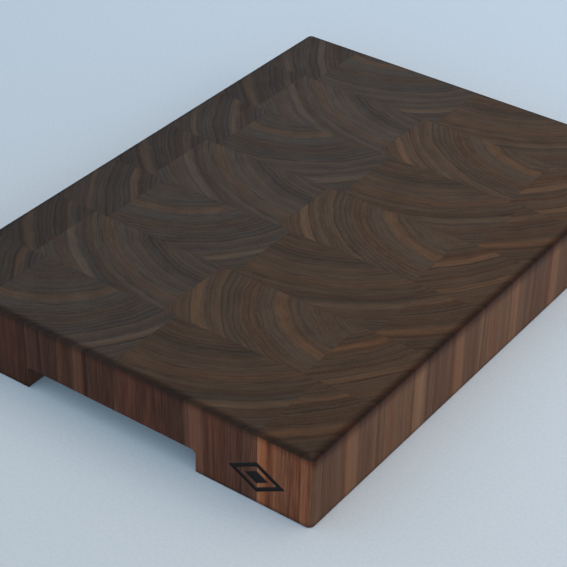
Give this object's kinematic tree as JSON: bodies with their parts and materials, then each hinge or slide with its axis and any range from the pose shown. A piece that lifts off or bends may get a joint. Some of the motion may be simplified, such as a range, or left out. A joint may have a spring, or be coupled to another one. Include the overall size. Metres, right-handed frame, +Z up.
{
  "type": "cutting board",
  "caption": "Thick end-grain walnut cutting board: glued-up rows of blocks, rounded edges, and a routed finger recess under each end for lifting it.",
  "frame": {"origin": "middle of the underside, on the surface that the board stands on", "axes": "+X across the board, +Y along it away from the marked end, +Z up through the working face"},
  "size_m": [0.285, 0.399, 0.05],
  "materials": {
    "walnut_block": "oiled walnut, satin, end grain on top and long grain on the sides",
    "glue_line": "cured waterproof wood glue, sanded flush"
  },
  "bodies": {
    "root": {"row1_block_left": "walnut_block", "row1_block_mid_left": "walnut_block", "row1_block_mid_right": "walnut_block", "row1_block_right": "walnut_block", "row2_block_left": "walnut_block", "row2_block_mid_left": "walnut_block", "row2_block_mid_right": "walnut_block", "row2_block_right": "walnut_block", "row3_block_left": "walnut_block", "row3_block_mid_left": "walnut_block", "row3_block_mid_right": "walnut_block", "row3_block_right": "walnut_block", "row4_block_left": "walnut_block", "row4_block_mid_left": "walnut_block", "row4_block_mid_right": "walnut_block", "row4_block_right": "walnut_block", "row5_block_left": "walnut_block", "row5_block_mid_left": "walnut_block", "row5_block_mid_right": "walnut_block", "row5_block_right": "walnut_block", "row6_block_left": "walnut_block", "row6_block_mid_left": "walnut_block", "row6_block_mid_right": "walnut_block", "row6_block_right": "walnut_block", "row7_block_left": "walnut_block", "row7_block_mid_left": "walnut_block", "row7_block_mid_right": "walnut_block", "row7_block_right": "walnut_block", "row1_stave_glue": "glue_line", "row2_stave_glue": "glue_line", "row3_stave_glue": "glue_line", "row4_stave_glue": "glue_line", "row5_stave_glue": "glue_line", "row6_stave_glue": "glue_line", "row7_stave_glue": "glue_line", "glue_row1_to_row2": "glue_line", "glue_row2_to_row3": "glue_line", "glue_row3_to_row4": "glue_line", "glue_row4_to_row5": "glue_line", "glue_row5_to_row6": "glue_line", "glue_row6_to_row7": "glue_line"}
  },
  "joints": []
}
